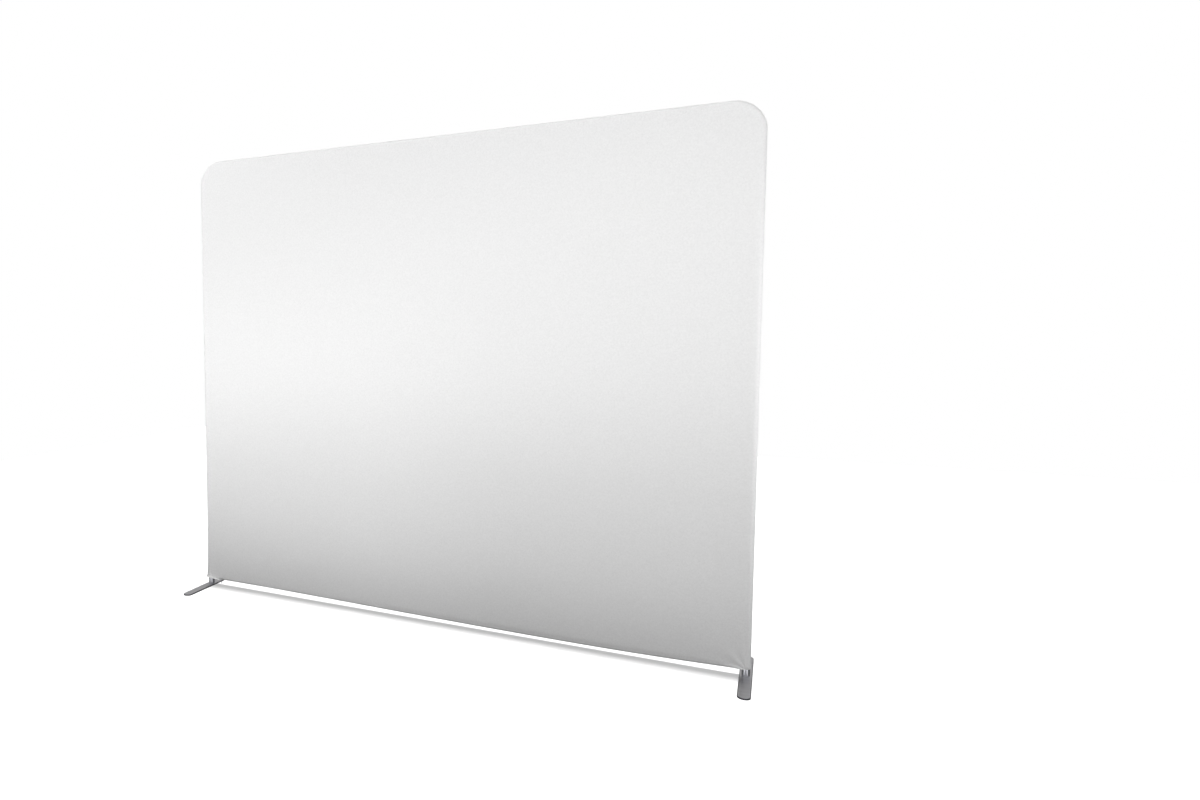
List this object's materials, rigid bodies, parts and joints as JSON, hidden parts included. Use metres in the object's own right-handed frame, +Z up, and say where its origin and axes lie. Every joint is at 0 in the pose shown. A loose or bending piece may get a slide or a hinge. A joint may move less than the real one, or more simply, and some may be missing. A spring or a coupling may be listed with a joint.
{
  "type": "tension fabric display wall",
  "caption": "Free-standing display wall: a tube frame joined by spring buttons, dressed in a zipped stretch cover, on flat feet that turn for packing.",
  "frame": {"origin": "on the floor, at the middle of the wall", "axes": "+X along the wall, towards the right seen from the front; -Y is the front; +Z up"},
  "size_m": [2.766, 0.44, 2.3013],
  "materials": {
    "tube_aluminium": "satin anodised",
    "sleeve_aluminium": "mill",
    "rivet_blued": "dark blue",
    "spring_steel": "bright",
    "button_steel": "satin",
    "screw_steel": "black oxide",
    "plug_nylon": "matt",
    "foot_steel": "satin",
    "cover_fabric": "matt stretch knit",
    "hem_tape": "woven tape",
    "zip_teeth": "moulded coil",
    "zip_metal": "nickel"
  },
  "bodies": {
    "frame": {"top_elbow_left": "tube_aluminium", "top_elbow_right": "tube_aluminium", "top_rail_1": "tube_aluminium", "top_rail_2": "tube_aluminium", "top_rail_3": "tube_aluminium", "top_rail_4": "tube_aluminium", "bottom_rail_1": "tube_aluminium", "bottom_rail_2": "tube_aluminium", "bottom_rail_3": "tube_aluminium", "bottom_rail_4": "tube_aluminium", "lower_corner_left": "tube_aluminium", "lower_corner_right": "tube_aluminium", "post_left_upper": "tube_aluminium", "post_left_middle": "tube_aluminium", "post_left_lower": "tube_aluminium", "post_right_upper": "tube_aluminium", "post_right_middle": "tube_aluminium", "post_right_lower": "tube_aluminium", "centre_bar_1": "tube_aluminium", "centre_bar_2": "tube_aluminium", "centre_bar_3": "tube_aluminium", "centre_bar_4": "tube_aluminium", "bar_end_plugs": "plug_nylon", "rail_sleeves": "sleeve_aluminium", "post_sleeves": "sleeve_aluminium", "sleeve_rivets": "rivet_blued", "button_springs": "spring_steel", "post_plugs": "sleeve_aluminium", "foot_screws": "screw_steel"},
    "foot_left": {"foot_plate_left": "foot_steel"},
    "foot_right": {"foot_plate_right": "foot_steel"},
    "top_button_1": {"top_button_1": "button_steel"},
    "top_button_2": {"top_button_2": "button_steel"},
    "top_button_3": {"top_button_3": "button_steel"},
    "top_button_4": {"top_button_4": "button_steel"},
    "top_button_5": {"top_button_5": "button_steel"},
    "bottom_button_1": {"bottom_button_1": "button_steel"},
    "bottom_button_2": {"bottom_button_2": "button_steel"},
    "bottom_button_3": {"bottom_button_3": "button_steel"},
    "bottom_button_4": {"bottom_button_4": "button_steel"},
    "bottom_button_5": {"bottom_button_5": "button_steel"},
    "left_button_1": {"left_button_1": "button_steel"},
    "left_button_2": {"left_button_2": "button_steel"},
    "left_button_3": {"left_button_3": "button_steel"},
    "left_button_4": {"left_button_4": "button_steel"},
    "right_button_1": {"right_button_1": "button_steel"},
    "right_button_2": {"right_button_2": "button_steel"},
    "right_button_3": {"right_button_3": "button_steel"},
    "right_button_4": {"right_button_4": "button_steel"},
    "cover": {"cover_front": "cover_fabric", "cover_back": "cover_fabric", "cover_edge_left": "cover_fabric", "cover_edge_right": "cover_fabric", "cover_edge_top": "cover_fabric", "cover_hem_front": "hem_tape", "cover_hem_back": "hem_tape", "zip_chain": "zip_teeth"},
    "slider": {"zip_slider": "zip_metal"},
    "pull": {"zip_pull": "zip_metal"}
  },
  "joints": [
    {"name": "foot_left_turn", "type": "hinge", "parent": "frame", "child": "foot_left", "pos_m": [-1.358, 0, 0.003], "axis": [0, 0, 1], "range_deg": [-90, 90]},
    {"name": "foot_right_turn", "type": "hinge", "parent": "frame", "child": "foot_right", "pos_m": [1.358, 0, 0.003], "axis": [0, 0, 1], "range_deg": [-90, 90]},
    {"name": "top_button_1_press", "type": "slide", "parent": "frame", "child": "top_button_1", "axis": [0, 0, 1], "range_m": [0, 0.0066], "stiffness_N_per_m": 1200, "springref_m": -0.003},
    {"name": "top_button_2_press", "type": "slide", "parent": "frame", "child": "top_button_2", "axis": [0, 0, 1], "range_m": [0, 0.0066], "stiffness_N_per_m": 1200, "springref_m": -0.003},
    {"name": "top_button_3_press", "type": "slide", "parent": "frame", "child": "top_button_3", "axis": [0, 0, 1], "range_m": [0, 0.0066], "stiffness_N_per_m": 1200, "springref_m": -0.003},
    {"name": "top_button_4_press", "type": "slide", "parent": "frame", "child": "top_button_4", "axis": [0, 0, 1], "range_m": [0, 0.0066], "stiffness_N_per_m": 1200, "springref_m": -0.003},
    {"name": "top_button_5_press", "type": "slide", "parent": "frame", "child": "top_button_5", "axis": [0, 0, 1], "range_m": [0, 0.0066], "stiffness_N_per_m": 1200, "springref_m": -0.003},
    {"name": "bottom_button_1_press", "type": "slide", "parent": "frame", "child": "bottom_button_1", "axis": [0, 0, -1], "range_m": [0, 0.0066], "stiffness_N_per_m": 1200, "springref_m": -0.003},
    {"name": "bottom_button_2_press", "type": "slide", "parent": "frame", "child": "bottom_button_2", "axis": [0, 0, -1], "range_m": [0, 0.0066], "stiffness_N_per_m": 1200, "springref_m": -0.003},
    {"name": "bottom_button_3_press", "type": "slide", "parent": "frame", "child": "bottom_button_3", "axis": [0, 0, -1], "range_m": [0, 0.0066], "stiffness_N_per_m": 1200, "springref_m": -0.003},
    {"name": "bottom_button_4_press", "type": "slide", "parent": "frame", "child": "bottom_button_4", "axis": [0, 0, -1], "range_m": [0, 0.0066], "stiffness_N_per_m": 1200, "springref_m": -0.003},
    {"name": "bottom_button_5_press", "type": "slide", "parent": "frame", "child": "bottom_button_5", "axis": [0, 0, -1], "range_m": [0, 0.0066], "stiffness_N_per_m": 1200, "springref_m": -0.003},
    {"name": "left_button_1_press", "type": "slide", "parent": "frame", "child": "left_button_1", "axis": [-1, 0, 0], "range_m": [0, 0.0066], "stiffness_N_per_m": 1200, "springref_m": -0.003},
    {"name": "left_button_2_press", "type": "slide", "parent": "frame", "child": "left_button_2", "axis": [-1, 0, 0], "range_m": [0, 0.0066], "stiffness_N_per_m": 1200, "springref_m": -0.003},
    {"name": "left_button_3_press", "type": "slide", "parent": "frame", "child": "left_button_3", "axis": [-1, 0, 0], "range_m": [0, 0.0066], "stiffness_N_per_m": 1200, "springref_m": -0.003},
    {"name": "left_button_4_press", "type": "slide", "parent": "frame", "child": "left_button_4", "axis": [-1, 0, 0], "range_m": [0, 0.0066], "stiffness_N_per_m": 1200, "springref_m": -0.003},
    {"name": "right_button_1_press", "type": "slide", "parent": "frame", "child": "right_button_1", "axis": [1, 0, 0], "range_m": [0, 0.0066], "stiffness_N_per_m": 1200, "springref_m": -0.003},
    {"name": "right_button_2_press", "type": "slide", "parent": "frame", "child": "right_button_2", "axis": [1, 0, 0], "range_m": [0, 0.0066], "stiffness_N_per_m": 1200, "springref_m": -0.003},
    {"name": "right_button_3_press", "type": "slide", "parent": "frame", "child": "right_button_3", "axis": [1, 0, 0], "range_m": [0, 0.0066], "stiffness_N_per_m": 1200, "springref_m": -0.003},
    {"name": "right_button_4_press", "type": "slide", "parent": "frame", "child": "right_button_4", "axis": [1, 0, 0], "range_m": [0, 0.0066], "stiffness_N_per_m": 1200, "springref_m": -0.003},
    {"name": "cover_lift", "type": "slide", "parent": "frame", "child": "cover", "axis": [0, 0, 1], "range_m": [0, 2.45], "deforming": ["cover_hem_front", "cover_hem_back", "zip_chain"]},
    {"name": "zip_open", "type": "slide", "parent": "cover", "child": "slider", "axis": [1, 0, 0], "range_m": [0, 2.58]},
    {"name": "zip_pull_swing", "type": "hinge", "parent": "slider", "child": "pull", "pos_m": [-1.29, 0, 0.0344], "axis": [0, 1, 0], "range_deg": [-85, 85]}
  ]
}
